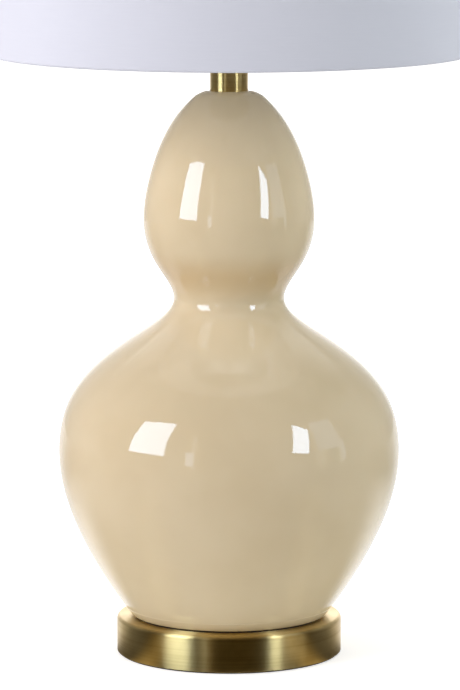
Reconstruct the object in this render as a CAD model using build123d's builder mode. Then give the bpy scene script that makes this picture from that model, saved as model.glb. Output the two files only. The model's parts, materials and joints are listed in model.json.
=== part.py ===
from build123d import *
from math import atan2, cos, hypot, radians, sin, tan
import os

# A table lamp: a glazed double gourd body on a brass plinth, with a brass neck,
# a screw-in lamp socket, a harp, a drum shade and a ball finial.
# Millimetres. +Z is up, the origin is on the surface it stands on, under the lamp's axis.

# ---- Driving dimensions ---------------------------------------------------------------

# Plinth
base_radius = 95.0
base_height = 31.5
base_edge_round = 3.2
shell_wall = 1.5
shell_lift = 1.2  # the metal stays this far above the table
felt_thickness = 3.0
felt_hole_radius = 15.0

# Cast-iron weight inside the plinth
weight_clearance = 0.3
weight_web = 6.0
weight_rim = 8.0
hub_radius = 17.0
hub_depth = 4.0
rib_count = 6
rib_thickness = 4.0
rib_depth = 12.0
rib_overlap = 1.0  # how far each rib runs into the hub, the rim and the web
cord_notch_width = 18.0

# Cord bushing in the plinth's back
cord_height = 14.0
cord_bore_radius = 3.5
bushing_wall = 1.5
bushing_clearance = 0.15
bushing_flange = 2.4
bushing_flange_thickness = 2.0
bushing_grip_gap = 0.5  # from the plinth's wall to the lip behind it
bushing_lip = 0.9
bushing_lip_length = 2.0
bushing_lip_taper = -8.0  # degrees

# Lamp pipe and the nuts and washers that clamp the stack
pipe_radius = 4.95
pipe_bore_radius = 3.2
pipe_clearance = 0.2
pipe_tail = 2.5  # what stands out below the bottom nut
pipe_grip = 5.5  # what screws into the socket's cap
clamp_washer_radius = 15.0
clamp_washer_thickness = 2.0
clamp_washer_room = 1.0
lock_washer_radius = 8.5
lock_washer_thickness = 1.2
lock_washer_teeth = 12
tooth_gap_depth, tooth_gap_width = 2.2, 1.1
clamp_nut_flats = 15.0
clamp_nut_height = 5.0
nut_corner = 1.16  # a nut's turned corners, as a share of half its flats
nut_ease = 0.04  # their chamfer's height, as a share of its flats

# Glazed gourd body: each rise is counted from the point below it
gasket_thickness = 1.5
gasket_inset = 3.2
gasket_width = 18.0
foot_radius = 82.6
foot_flare = 37.0  # degrees from upright
foot_round = 2.5
flank_radius, flank_rise = 122.4, 62.9
belly_radius, belly_rise = 143.7, 76.1
shoulder_radius, shoulder_rise = 138.0, 35.8
collar_radius, collar_rise = 76.5, 64.6
waist_radius, waist_rise = 46.4, 29.6
chin_radius, chin_rise = 61.7, 30.2
bulge_radius, bulge_rise = 71.9, 37.8
brow_radius, brow_rise = 67.9, 30.2
crown_radius, crown_rise = 28.1, 72.8
crown_slope = 50.9  # degrees from upright
crown_land_rise = 4.0
gourd_wall = 6.0
gourd_floor = 7.0
gourd_crown = 7.0
foot_hole_radius = 24.0
crown_hole_radius = 8.0
seat_depth = 1.0
seat_lip = 0.8
foot_ring_width = 24.0
foot_recess = 1.2
locator_clearance = 0.3
locator_chamfer = 1.0

# Brass neck on the crown
neck_radius = 15.875
neck_wall = 1.2
neck_height = 38.0
neck_clearance = 0.3
neck_cap_overhang = 1.1
neck_cap_thickness = 2.5
neck_cap_spigot = 4.0
neck_cap_chamfer = 0.8
locator_flange = 1.5
locator_spigot = 6.0

# Harp saddle: a bent strip with two upright arms
strip_thickness = 1.5
strip_width = 12.0
saddle_pad_radius = 11.0
saddle_half_width = 27.0
saddle_bend = 4.0
arm_height = 26.0
arm_tip_width = 5.0
arm_tip_length = 12.0
saddle_nut_flats = 14.0
saddle_nut_height = 3.5

# Lamp socket
cap_hub_radius = 7.5
cap_hub_height = 6.0
cap_skirt_radius = 17.3
cap_dome_height = 10.0
cap_skirt_height = 4.5
cap_bulge = 2.5  # how far the cap's dome swells
cap_wall = 0.8
set_screw_radius = 1.5
set_screw_head_radius = 2.3
set_screw_head = 1.6
set_screw_gap = 0.1  # its tip to the pipe
screw_hole_gap = 0.05
shell_clearance = 0.05
shell_thickness = 0.6
shell_height = 40.0
shell_overlap = 3.6  # how far the socket shell sits down inside its cap
shell_bead = 0.7
shell_bead_height = 2.4
shell_bead_gap = 0.4  # above the cap's rim
shell_lip = 1.0
sleeve_clearance = 0.1
sleeve_wall = 0.6
sleeve_drop = 1.0  # its rim below the shell's
block_clearance = 0.3
block_height = 21.0
block_flat = 11.5
terminal_radius = 2.6
terminal_head = 1.5
terminal_height = 7.0
terminal_shank = 3.5
terminal_hole_depth = 4.0
terminal_bay_width = 8.2
screw_shell_radius = 13.45  # inside, round the bulb's cap
screw_shell_wall = 0.4
screw_shell_lip = 0.5
screw_shell_drop = 2.0  # its rim below the socket shell's
screw_shell_hole = 7.5  # round the centre contact
contact_width = 5.0
contact_thickness = 0.5
contact_rise = 1.0  # its free end above its fixed one
contact_start, contact_end = -5.0, 4.0
contact_bend_start, contact_bend_end = -1.0, 1.5
contact_bend = 0.7

# Rotary switch
spindle_radius = 1.9
spindle_clearance = 0.1
spindle_drop = 6.5  # the spindle's axis below the top of the block
cam_radius = 4.2
cam_length = 7.0
cam_notches = 4
cam_notch_radius = 1.9
cam_notch_offset = 1.1  # the notches' centres outside the cam's rim
cam_chamber_clearance = 0.5
switch_slot_clearance = 0.5
knob_gap = 2.2
knob_neck_radius = 3.6
knob_radius = 6.2
knob_length = 17.0
knob_neck_length = 5.0
knob_flutes = 12
knob_flute_radius = 0.8
knob_end_round = 1.6
knob_fit = 0.03

# Harp
wire_radius = 1.7
harp_half_width = 56.0
harp_half_top = 28.0
harp_tab_thickness = 1.6
harp_tab_overlap = 10.5
harp_tab_rise = 1.0  # what the tab laps over the leg's end
bend_share = 0.45  # of the shorter run, taken by each bend of the harp
tab_gap = 0.25
leg_seat_gap = 0.3
leg_straight = 30.0
harp_widest_low = 60.0  # above the straight part of the leg
harp_widest_high = 132.0
ferrule_length = 12.5
ferrule_wall = 0.6
ferrule_round, ferrule_inner_round = 1.8, 0.6
ferrule_clearance = 0.3
ferrule_gap = 0.3
stud_radius = 3.1
stud_length = 11.0
stud_collar_radius = 6.5
stud_collar_thickness = 3.2
stud_boss_radius = 3.4
stud_boss_depth = 1.9
stud_boss_wrap = 1.2  # how far the boss reaches below the wire
stud_wire_gap = 0.03
stud_chamfer = 0.6

# Drum shade
shade_bottom_radius = 203.2
shade_top_radius = 190.5
shade_height = 267.0
shade_rise = 31.0  # its bottom edge above the gourd's crown
fabric_thickness = 0.6
liner_thickness = 0.5
glue_gap = 0.15  # between the cover and the liner
ring_wire_radius = 1.5
ring_clearance = 0.3
hem_length = 9.0
hem_gap = 3.4
hem_shoulder = 1.3  # above the wire's centre, where the hem turns in to the liner
hem_bend = 0.9
bend_slack = 0.01  # keeps a scrap of straight between two bends
washer_drop = 19.0
washer_radius = 11.0
washer_thickness = 1.2
washer_gap = 0.3
stud_clearance = 0.4
spoke_count = 3
spoke_radius = 1.4
spoke_flat = 20.0
spoke_bend = 60.0
spoke_notch = 0.6  # round each spoke, in the hem
weld_gap = 0.02

# Finial
finial_gap = 0.3
insert_radius = 4.4
insert_length = 8.0
insert_clearance = 0.1
finial_running_gap = 0.06
finial_foot_radius = 7.6
finial_foot_height = 2.6
finial_foot_chamfer = 0.8
finial_neck_radius = 6.2
finial_neck_height = 10.0
finial_neck_dip = 0.7
finial_ball_radius = 11.5
finial_ball_start = 60.0  # degrees below the ball's equator, where its neck ends
finial_tip_room = 3.0

# Bulb: heights above its contact
contact_gap = 0.3
bulb_length = 110.0
bulb_radius = 30.0
bulb_neck_radius = 12.4
bulb_shoulder_radius, bulb_shoulder_height = 17.0, 40.0
bulb_flank_radius, bulb_flank_height = 26.6, 61.0
bulb_wall = 1.0
bulb_cap_radius = 13.1
bulb_cap_wall = 0.6
bulb_cap_bottom = 4.0
bulb_cap_height = 26.0
bulb_cap_taper = 3.0
bulb_seam = 1.0  # how far the glass reaches into the cap
tip_radius = 2.6
tip_height = 1.4
insulator_radius = 8.9
insulator_gap = 0.06
insulator_land = 1.0
insulator_lip = 0.4
insulator_depth = 2.0

# Cutting shapes reach this far past what they cut
cut_margin = 1.0

# ---- Heights that follow from the stack -----------------------------------------------

gourd_base = base_height + gasket_thickness
belly_height = flank_rise + belly_rise
collar_height = belly_height + shoulder_rise + collar_rise
waist_height = collar_height + waist_rise
bulge_height = waist_height + chin_rise + bulge_rise
crown_height = bulge_height + brow_rise + crown_rise
gourd_height = crown_height + crown_land_rise
crown_top = gourd_base + gourd_height
neck_base = crown_top - seat_depth
neck_top = neck_base + neck_height
saddle_base = neck_top + neck_cap_thickness
saddle_top = saddle_base + strip_thickness
cap_base = saddle_top + saddle_nut_height
cap_rim = cap_base + cap_hub_height + cap_dome_height + cap_skirt_height
shell_base = cap_rim - shell_overlap
shell_top = shell_base + shell_height
block_base = cap_base + cap_hub_height + cap_dome_height / 2
block_top = block_base + block_height
spindle_height = block_top - spindle_drop
contact_height = block_top + contact_rise
bulb_base = contact_height + contact_thickness + contact_gap
arm_top = saddle_base + arm_height
ferrule_base = arm_top - arm_tip_length + ferrule_gap
leg_base = arm_top + leg_seat_gap
leg_top = leg_base + leg_straight
shade_base = crown_top + shade_rise
shade_top = shade_base + shade_height
washer_base = shade_top - washer_drop
washer_top = washer_base + washer_thickness
collar_top = washer_base - washer_gap
collar_base = collar_top - stud_collar_thickness
harp_top = collar_base - stud_boss_depth
finial_base = washer_top + finial_gap
hub_bottom = base_height - shell_wall - weight_web - hub_depth
clamp_nut_base = hub_bottom - clamp_washer_thickness - lock_washer_thickness - clamp_nut_height

pipe_hole_radius = pipe_radius + pipe_clearance
cord_hole_radius = cord_bore_radius + bushing_wall + bushing_clearance
neck_bore_radius = neck_radius - neck_wall
shell_radius = cap_skirt_radius - cap_wall - shell_clearance
sleeve_radius = shell_radius - shell_thickness - sleeve_clearance
block_radius = sleeve_radius - sleeve_wall - block_clearance


# ---- Shared shapes --------------------------------------------------------------------


def ring(outer, inner, bottom, height):
    """A plain turned ring round the lamp's axis."""
    with BuildPart() as made:
        with BuildSketch(Plane.XY.offset(bottom)):
            Circle(outer)
            Circle(inner, mode=Mode.SUBTRACT)
        extrude(amount=height)
    return made


def turned(*outline):
    """A piece turned about the lamp's axis from a closed outline of (radius, height)."""
    with BuildPart() as made:
        with BuildSketch(Plane.XZ):
            with BuildLine():
                Polyline(*outline, close=True)
            make_face()
        revolve(axis=Axis.Z)
    return made


def hex_nut(flats, bottom, height):
    """A hexagon nut on the lamp pipe, with its outer corners eased."""
    with BuildPart() as made:
        with BuildSketch(Plane.XY.offset(bottom)):
            RegularPolygon(flats / 2, 6, major_radius=False)
        extrude(amount=height)
        with BuildSketch(Plane.XZ):
            with BuildLine():
                corner, ease = flats / 2 * nut_corner, flats * nut_ease
                Polyline(
                    (0, bottom),
                    (flats / 2, bottom),
                    (corner, bottom + ease),
                    (corner, bottom + height - ease),
                    (flats / 2, bottom + height),
                    (0, bottom + height),
                    close=True,
                )
            make_face()
        revolve(axis=Axis.Z, mode=Mode.INTERSECT)
        with Locations((0, 0, bottom + height)):
            Hole(pipe_radius + pipe_clearance / 2, depth=height)
    return made


def gentle_radii(points):
    """The largest bend at each corner of a route that still leaves a little of both runs straight."""
    radii = []
    for before, here, after in zip(points, points[1:], points[2:]):
        run_in = (here[0] - before[0], here[1] - before[1])
        run_out = (after[0] - here[0], after[1] - here[1])
        turn = abs(atan2(run_in[0] * run_out[1] - run_in[1] * run_out[0],
                         run_in[0] * run_out[0] + run_in[1] * run_out[1]))
        radii.append(bend_share * min(hypot(*run_in), hypot(*run_out)) / tan(turn / 2))
    return radii


# ---- Plinth ---------------------------------------------------------------------------

with BuildPart() as base_shell:
    with BuildSketch(Plane.XY.offset(shell_lift)):
        Circle(base_radius)
    extrude(amount=base_height - shell_lift)
    fillet(base_shell.faces().sort_by(Axis.Z)[-1].edges(), radius=base_edge_round)
    offset(amount=-shell_wall, openings=base_shell.faces().sort_by(Axis.Z)[0])
    with Locations((0, 0, base_height)):
        Hole(pipe_hole_radius, depth=2 * shell_wall)
    with Locations(Plane(origin=(0, base_radius, cord_height), z_dir=(0, 1, 0))):
        Hole(cord_hole_radius, depth=3 * shell_wall)

weight_radius = base_radius - shell_wall - weight_clearance
weight_top = base_height - shell_wall
rim_inner = weight_radius - weight_rim
edge_relief = base_edge_round  # the rim is stepped in where the shell's edge is rounded
with BuildPart() as base_weight:
    with BuildSketch(Plane.XZ):
        with BuildLine():
            Polyline(
                (pipe_hole_radius, weight_top),
                (weight_radius - edge_relief, weight_top),
                (weight_radius, weight_top - edge_relief),
                (weight_radius, felt_thickness),
                (rim_inner, felt_thickness),
                (rim_inner, weight_top - weight_web),
                (hub_radius, weight_top - weight_web),
                (hub_radius, hub_bottom),
                (pipe_hole_radius, hub_bottom),
                close=True,
            )
        make_face()
    revolve(axis=Axis.Z)
    rib_span = rim_inner - hub_radius + 2 * rib_overlap
    with BuildSketch(Plane.XY.offset(weight_top - weight_web - rib_depth)):
        with PolarLocations(hub_radius - rib_overlap + rib_span / 2, rib_count):
            Rectangle(rib_span, rib_thickness)
    extrude(amount=rib_depth + rib_overlap)
    with BuildSketch(Plane.XY.offset(hub_bottom - rib_depth)):
        Circle(clamp_washer_radius + clamp_washer_room)
    extrude(amount=rib_depth, mode=Mode.SUBTRACT)
    with BuildSketch(Plane.XY.offset(felt_thickness)):
        with Locations((0, weight_radius)):
            Rectangle(cord_notch_width, 3 * weight_rim)
    extrude(amount=weight_top - weight_web - felt_thickness, mode=Mode.SUBTRACT)

felt_pad = ring(weight_radius, felt_hole_radius, 0, felt_thickness)

bushing_plane = Plane(origin=(0, base_radius, cord_height), x_dir=(1, 0, 0), z_dir=(0, 1, 0))
bushing_outer = cord_bore_radius + bushing_wall
lip_start = -shell_wall - bushing_grip_gap
with BuildPart() as cord_bushing:
    with BuildSketch(bushing_plane):
        Circle(bushing_outer + bushing_flange)
    extrude(amount=bushing_flange_thickness)
    fillet(cord_bushing.faces().sort_by(Axis.Y)[-1].edges(), radius=bushing_flange_thickness / 2)
    with BuildSketch(bushing_plane.offset(lip_start - bushing_lip_length)):
        Circle(bushing_outer)
    extrude(amount=bushing_lip_length - lip_start)
    with BuildSketch(bushing_plane.offset(lip_start - bushing_lip_length)):
        Circle(bushing_outer + bushing_lip)
    extrude(amount=bushing_lip_length, taper=bushing_lip_taper)
    with Locations(bushing_plane.offset(bushing_flange_thickness)):
        Hole(cord_bore_radius)

# ---- Stack below the plinth: washer, tooth washer, nut --------------------------------

clamp_washer = ring(
    clamp_washer_radius, pipe_hole_radius, hub_bottom - clamp_washer_thickness, clamp_washer_thickness
)

with BuildPart() as lock_washer:
    lock_base = hub_bottom - clamp_washer_thickness - lock_washer_thickness
    with BuildSketch(Plane.XY.offset(lock_base)):
        Circle(lock_washer_radius)
        Circle(pipe_hole_radius, mode=Mode.SUBTRACT)
        with PolarLocations(lock_washer_radius, lock_washer_teeth):
            Rectangle(tooth_gap_depth, tooth_gap_width, mode=Mode.SUBTRACT)
    extrude(amount=lock_washer_thickness)

clamp_nut = hex_nut(clamp_nut_flats, clamp_nut_base, clamp_nut_height)

# ---- Gourd body -----------------------------------------------------------------------

foot_gasket = ring(
    foot_radius - gasket_inset, foot_radius - gasket_inset - gasket_width, base_height, gasket_thickness
)

foot_locator = turned(
    (pipe_hole_radius, base_height),
    (foot_hole_radius - locator_clearance, base_height),
    (foot_hole_radius - locator_clearance, gourd_base + gourd_floor - locator_chamfer),
    (foot_hole_radius - locator_clearance - locator_chamfer, gourd_base + gourd_floor),
    (pipe_hole_radius, gourd_base + gourd_floor),
)


def wall_point(curve, share, depth):
    """The point that lies a given depth inside a wall whose outside climbs along the curve."""
    heading = curve % share
    return (curve @ share) + Vector(-heading.Y, heading.X) * depth


gourd_plane = Plane(origin=(0, 0, gourd_base), x_dir=(1, 0, 0), z_dir=(0, -1, 0))
inner_stations = [0.03, 0.09, 0.16, 0.25, 0.34, 0.43, 0.52, 0.58, 0.63, 0.68, 0.74, 0.81, 0.89, 0.985]
crown_land = neck_radius + neck_clearance + seat_lip
with BuildPart(mode=Mode.PRIVATE) as gourd_form:
    with BuildSketch(gourd_plane):
        with BuildLine():
            outside = Spline(
                (foot_radius, 0),
                (flank_radius, flank_rise),
                (belly_radius, belly_height),
                (shoulder_radius, belly_height + shoulder_rise),
                (collar_radius, collar_height),
                (waist_radius, waist_height),
                (chin_radius, waist_height + chin_rise),
                (bulge_radius, bulge_height),
                (brow_radius, bulge_height + brow_rise),
                (crown_radius, crown_height),
                tangents=[
                    (sin(radians(foot_flare)), cos(radians(foot_flare))),
                    (-sin(radians(crown_slope)), cos(radians(crown_slope))),
                ],
                tangent_scalars=[1, 1],
            )
            TangentArc(outside @ 1, (crown_land, gourd_height), tangent=outside % 1)
            Polyline((crown_land, gourd_height), (0, gourd_height), (0, 0), (foot_radius, 0))
        make_face()
    revolve(axis=Axis.Z)
    fillet(gourd_form.faces().sort_by(Axis.Z)[0].edges(), radius=foot_round)
    with BuildSketch(gourd_plane):
        with BuildLine():
            inside = Spline(*[wall_point(outside, share, gourd_wall) for share in inner_stations])
            Polyline(
                inside @ 1,
                (crown_hole_radius, gourd_height - gourd_crown),
                (0, gourd_height - gourd_crown),
                (0, gourd_floor),
                (foot_radius - 2 * gourd_wall, gourd_floor),
                inside @ 0,
            )
        make_face()
    revolve(axis=Axis.Z, mode=Mode.SUBTRACT)
    with Locations((0, 0, crown_top)):
        CounterBoreHole(
            crown_hole_radius, neck_radius + neck_clearance, seat_depth, depth=2 * gourd_crown
        )
    with Locations((0, 0, gourd_base + gourd_floor)):
        Hole(foot_hole_radius, depth=gourd_floor)
    with BuildSketch(Plane.XY.offset(gourd_base)):
        Circle(foot_radius - foot_ring_width)
        Circle(foot_hole_radius + foot_ring_width / 2, mode=Mode.SUBTRACT)
    extrude(amount=foot_recess, mode=Mode.SUBTRACT)

# The body is thrown in two lobes, and joined at the waist before it is fired
waist_plane = Plane.XY.offset(gourd_base + waist_height)
with BuildPart() as gourd_lower:
    add(gourd_form.part)
    split(bisect_by=waist_plane, keep=Keep.BOTTOM)

with BuildPart() as gourd_upper:
    add(gourd_form.part)
    split(bisect_by=waist_plane, keep=Keep.TOP)

# ---- Neck and the pipe through it -----------------------------------------------------

crown_locator = turned(
    (pipe_hole_radius, neck_base - locator_spigot),
    (crown_hole_radius - locator_clearance, neck_base - locator_spigot),
    (crown_hole_radius - locator_clearance, neck_base),
    (neck_bore_radius - locator_clearance, neck_base),
    (neck_bore_radius - locator_clearance, neck_base + locator_flange),
    (pipe_hole_radius, neck_base + locator_flange),
)

neck_tube = ring(neck_radius, neck_bore_radius, neck_base, neck_height)

neck_cap_radius = neck_radius + neck_cap_overhang
neck_cap = turned(
    (pipe_hole_radius, neck_top - neck_cap_spigot),
    (neck_bore_radius - locator_clearance, neck_top - neck_cap_spigot),
    (neck_bore_radius - locator_clearance, neck_top),
    (neck_cap_radius, neck_top),
    (neck_cap_radius, saddle_base - neck_cap_chamfer),
    (neck_cap_radius - neck_cap_chamfer, saddle_base),
    (pipe_hole_radius, saddle_base),
)

pipe_bottom = clamp_nut_base - pipe_tail
pipe_top = cap_base + pipe_grip
lamp_pipe = ring(pipe_radius, pipe_bore_radius, pipe_bottom, pipe_top - pipe_bottom)

# ---- Harp saddle ----------------------------------------------------------------------

arm_mid = saddle_half_width - strip_thickness / 2
strip_mid = saddle_base + strip_thickness / 2
with BuildPart() as harp_saddle:
    with BuildSketch(Plane.XZ) as strip_section:
        with BuildLine():
            FilletPolyline(
                (-arm_mid, arm_top),
                (-arm_mid, strip_mid),
                (arm_mid, strip_mid),
                (arm_mid, arm_top),
                radius=saddle_bend,
            )
        trace(line_width=strip_thickness)
    extrude(amount=strip_width / 2, both=True)
    with BuildSketch(Plane.XY.offset(saddle_base)):
        Circle(saddle_pad_radius)
    extrude(amount=strip_thickness)
    with BuildSketch(Plane.XY.offset(arm_top)):
        for side in (-1, 1):
            with Locations((0, side * (arm_tip_width + strip_width) / 2)):
                Rectangle(3 * saddle_half_width, strip_width)
    extrude(amount=-arm_tip_length, mode=Mode.SUBTRACT)
    with Locations((0, 0, saddle_top)):
        Hole(pipe_hole_radius, depth=strip_thickness)

saddle_nut = hex_nut(saddle_nut_flats, saddle_top, saddle_nut_height)

# ---- Lamp socket ----------------------------------------------------------------------

dome_base = cap_base + cap_hub_height
skirt_base = dome_base + cap_dome_height
screw_height = cap_base + cap_hub_height / 2
with BuildPart() as socket_cap:
    with BuildSketch(Plane.XZ):
        with BuildLine():
            outer_dome = SagittaArc((cap_hub_radius, dome_base), (cap_skirt_radius, skirt_base), -cap_bulge)
            inner_dome = SagittaArc(
                (pipe_radius + cap_wall, dome_base + cap_wall),
                (cap_skirt_radius - cap_wall, skirt_base),
                -cap_bulge,
            )
            Polyline(
                outer_dome @ 1,
                (cap_skirt_radius, cap_rim),
                (cap_skirt_radius - cap_wall, cap_rim),
                inner_dome @ 1,
            )
            Polyline(
                inner_dome @ 0,
                (pipe_radius + pipe_clearance / 2, dome_base + cap_wall),
                (pipe_radius + pipe_clearance / 2, cap_base),
                (cap_hub_radius, cap_base),
                outer_dome @ 0,
            )
        make_face()
    revolve(axis=Axis.Z)
    with Locations(Plane(origin=(cap_hub_radius, 0, screw_height), z_dir=(1, 0, 0))):
        Hole(set_screw_radius + screw_hole_gap, depth=cap_hub_radius - pipe_radius)

with BuildPart() as set_screw:
    with BuildSketch(Plane(origin=(pipe_radius + set_screw_gap, 0, screw_height), z_dir=(1, 0, 0))):
        Circle(set_screw_radius)
    extrude(amount=cap_hub_radius - pipe_radius)
    head_plane = Plane(origin=(cap_hub_radius, 0, screw_height), x_dir=(0, 1, 0), z_dir=(1, 0, 0))
    with BuildSketch(head_plane):
        Circle(set_screw_head_radius)
    extrude(amount=set_screw_head)
    with BuildSketch(head_plane.offset(set_screw_head / 2)):
        Rectangle(3 * set_screw_head_radius, set_screw_head_radius / 3)
    extrude(amount=set_screw_head, mode=Mode.SUBTRACT)

bead_base = cap_rim + shell_bead_gap
with BuildPart() as socket_shell:
    with BuildSketch(Plane.XZ):
        with BuildLine():
            bead = SagittaArc(
                (shell_radius, bead_base), (shell_radius, bead_base + shell_bead_height), -shell_bead
            )
            Polyline(
                bead @ 1,
                (shell_radius, shell_top - shell_thickness),
                (shell_radius + shell_lip - shell_thickness, shell_top),
                (shell_radius - shell_thickness, shell_top),
                (shell_radius - shell_thickness, shell_base),
                (shell_radius, shell_base),
                bead @ 0,
            )
        make_face()
    revolve(axis=Axis.Z)
    slot_radius = spindle_radius + switch_slot_clearance
    with BuildSketch(Plane(origin=(0, -shell_radius, spindle_height), x_dir=(1, 0, 0), z_dir=(0, -1, 0))):
        Circle(slot_radius)
        with Locations((0, -(spindle_height - shell_base) / 2)):
            Rectangle(2 * slot_radius, spindle_height - shell_base)
    extrude(amount=2 * shell_bead, both=True, mode=Mode.SUBTRACT)

with BuildPart() as socket_sleeve:
    add(ring(sleeve_radius, sleeve_radius - sleeve_wall, shell_base, shell_height - sleeve_drop).part)
    with Locations(Plane(origin=(0, -sleeve_radius, spindle_height), z_dir=(0, -1, 0))):
        Hole(spindle_radius + switch_slot_clearance, depth=2 * sleeve_wall + cut_margin)

switch_plane = Plane(origin=(0, 0, spindle_height), x_dir=(1, 0, 0), z_dir=(0, -1, 0))
chamber_length = cam_length + 2 * cam_chamber_clearance
terminal_z = block_base + terminal_height
with BuildPart() as socket_block:
    with BuildSketch(Plane.XY.offset(block_base)):
        Circle(block_radius)
        for side in (-1, 1):
            with Locations((side * (block_flat + block_radius), 0)):
                Rectangle(2 * block_radius, terminal_bay_width, mode=Mode.SUBTRACT)
    extrude(amount=block_height)
    with BuildSketch(Plane.XZ):
        with BuildLine():
            Polyline(
                (block_radius - cap_dome_height / 2, block_base),
                (block_radius + cut_margin, block_base),
                (block_radius + cut_margin, block_base + cap_dome_height / 2 + cut_margin),
                close=True,
            )
        make_face()
    revolve(axis=Axis.Z, mode=Mode.SUBTRACT)
    with BuildSketch(switch_plane.offset(-chamber_length / 2)):
        Circle(cam_radius + cam_chamber_clearance)
    extrude(amount=chamber_length, mode=Mode.SUBTRACT)
    with BuildSketch(switch_plane):
        Circle(spindle_radius + spindle_clearance)
    extrude(amount=block_radius + cut_margin, mode=Mode.SUBTRACT)
    for side in (-1, 1):
        with Locations(Plane(origin=(side * block_flat, 0, terminal_z), z_dir=(side, 0, 0))):
            Hole(terminal_radius / 2 + screw_hole_gap, depth=terminal_hole_depth)

with BuildPart() as terminal_screws:
    for side in (-1, 1):
        face = Plane(origin=(side * block_flat, 0, terminal_z), z_dir=(side, 0, 0))
        with BuildSketch(face):
            Circle(terminal_radius)
        extrude(amount=terminal_head)
        with BuildSketch(face):
            Circle(terminal_radius / 2)
        extrude(amount=-terminal_shank)
        with BuildSketch(face.offset(terminal_head / 2)):
            Rectangle(3 * terminal_radius, terminal_radius / 4)
        extrude(amount=terminal_head, mode=Mode.SUBTRACT)

screw_shell_top = shell_top - screw_shell_drop
screw_shell_outer = screw_shell_radius + screw_shell_wall
screw_shell = turned(
    (screw_shell_hole, block_top),
    (screw_shell_outer, block_top),
    (screw_shell_outer, screw_shell_top - screw_shell_lip),
    (screw_shell_outer + screw_shell_lip, screw_shell_top),
    (screw_shell_radius, screw_shell_top),
    (screw_shell_radius, block_top + screw_shell_wall),
    (screw_shell_hole, block_top + screw_shell_wall),
)

with BuildPart() as centre_contact:
    with BuildSketch(Plane.XZ):
        with BuildLine():
            FilletPolyline(
                (contact_start, block_top + contact_thickness / 2),
                (contact_bend_start, block_top + contact_thickness / 2),
                (contact_bend_end, contact_height + contact_thickness / 2),
                (contact_end, contact_height + contact_thickness / 2),
                radius=contact_bend,
            )
        trace(line_width=contact_thickness)
    extrude(amount=contact_width / 2, both=True)

# ---- Rotary switch --------------------------------------------------------------------

knob_base = cap_skirt_radius + knob_gap
with BuildPart() as switch_spindle:
    with BuildSketch(switch_plane):
        Circle(spindle_radius)
    extrude(amount=knob_base + knob_length / 2)
    with BuildSketch(switch_plane.offset(-cam_length / 2)):
        Circle(cam_radius)
        with PolarLocations(cam_radius + cam_notch_offset, cam_notches):
            Circle(cam_notch_radius, mode=Mode.SUBTRACT)
    extrude(amount=cam_length)

with BuildPart() as switch_knob:
    with BuildSketch(switch_plane.offset(knob_base)):
        Circle(knob_neck_radius)
    extrude(amount=knob_neck_length)
    with BuildSketch(switch_plane.offset(knob_base + knob_neck_length)):
        Circle(knob_radius)
    extrude(amount=knob_length - knob_neck_length)
    chamfer(switch_knob.edges().filter_by(GeomType.CIRCLE).sort_by(Axis.Y)[-3], length=knob_end_round)
    fillet(switch_knob.faces().sort_by(Axis.Y)[0].edges(), radius=knob_end_round)
    with BuildSketch(switch_plane.offset(knob_base + knob_neck_length)):
        with PolarLocations(knob_radius, knob_flutes):
            Circle(knob_flute_radius)
    extrude(amount=knob_length, mode=Mode.SUBTRACT)
    with BuildSketch(switch_plane.offset(knob_base)):
        Circle(spindle_radius + knob_fit)
    extrude(amount=knob_length / 2 + knob_fit, mode=Mode.SUBTRACT)

# ---- Harp -----------------------------------------------------------------------------

leg_x = saddle_half_width + (tab_gap + harp_tab_thickness - strip_thickness) / 2
half_route = [
    (leg_x, leg_base),
    (leg_x, leg_top),
    (harp_half_width, leg_top + harp_widest_low),
    (harp_half_width, leg_top + harp_widest_high),
    (harp_half_top, harp_top),
]
harp_route = [(-x, z) for x, z in half_route] + half_route[::-1]
with BuildPart() as harp_wire:
    with BuildLine(Plane.XZ) as harp_line:
        FilletPolyline(*harp_route, radius=gentle_radii(harp_route))
    with BuildSketch(Plane(origin=(-leg_x, 0, leg_base), z_dir=(0, 0, 1))):
        Circle(wire_radius)
    sweep(path=harp_line.line)
    tab_mid = saddle_half_width + tab_gap + harp_tab_thickness / 2
    for side in (-1, 1):
        with BuildSketch(Plane.XY.offset(leg_base + harp_tab_rise)):
            with Locations((side * tab_mid, 0)):
                Rectangle(harp_tab_thickness, arm_tip_width)
        extrude(amount=-harp_tab_overlap - harp_tab_rise)

with BuildPart() as harp_stud:
    with BuildSketch(Plane.XY.offset(harp_top - wire_radius - stud_boss_wrap)):
        Circle(stud_boss_radius)
    extrude(amount=collar_base - harp_top + wire_radius + stud_boss_wrap)
    with BuildSketch(Plane.XY.offset(collar_base)):
        Circle(stud_collar_radius)
    extrude(amount=stud_collar_thickness)
    with BuildSketch(Plane.XY.offset(collar_top)):
        Circle(stud_radius)
    extrude(amount=stud_length)
    chamfer(harp_stud.faces().sort_by(Axis.Z)[-1].edges(), length=stud_chamfer)
    with BuildSketch(Plane.YZ):
        with Locations((0, harp_top)):
            Circle(wire_radius + stud_wire_gap)
    extrude(amount=2 * stud_collar_radius, both=True, mode=Mode.SUBTRACT)


def ferrule(side):
    """One sliding ferrule: an oval sleeve round a saddle arm's tip and the harp's tab."""
    depth = strip_thickness + tab_gap + harp_tab_thickness + 2 * ferrule_clearance
    width = arm_tip_width + 2 * ferrule_clearance
    with BuildPart() as made:
        with BuildSketch(Plane.XY.offset(ferrule_base)):
            with Locations((side * leg_x, 0)):
                RectangleRounded(depth + 2 * ferrule_wall, width + 2 * ferrule_wall, ferrule_round)
                RectangleRounded(depth, width, ferrule_inner_round, mode=Mode.SUBTRACT)
        extrude(amount=ferrule_length)
    return made


ferrule_left = ferrule(-1)
ferrule_right = ferrule(1)

# ---- Drum shade -----------------------------------------------------------------------

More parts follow.
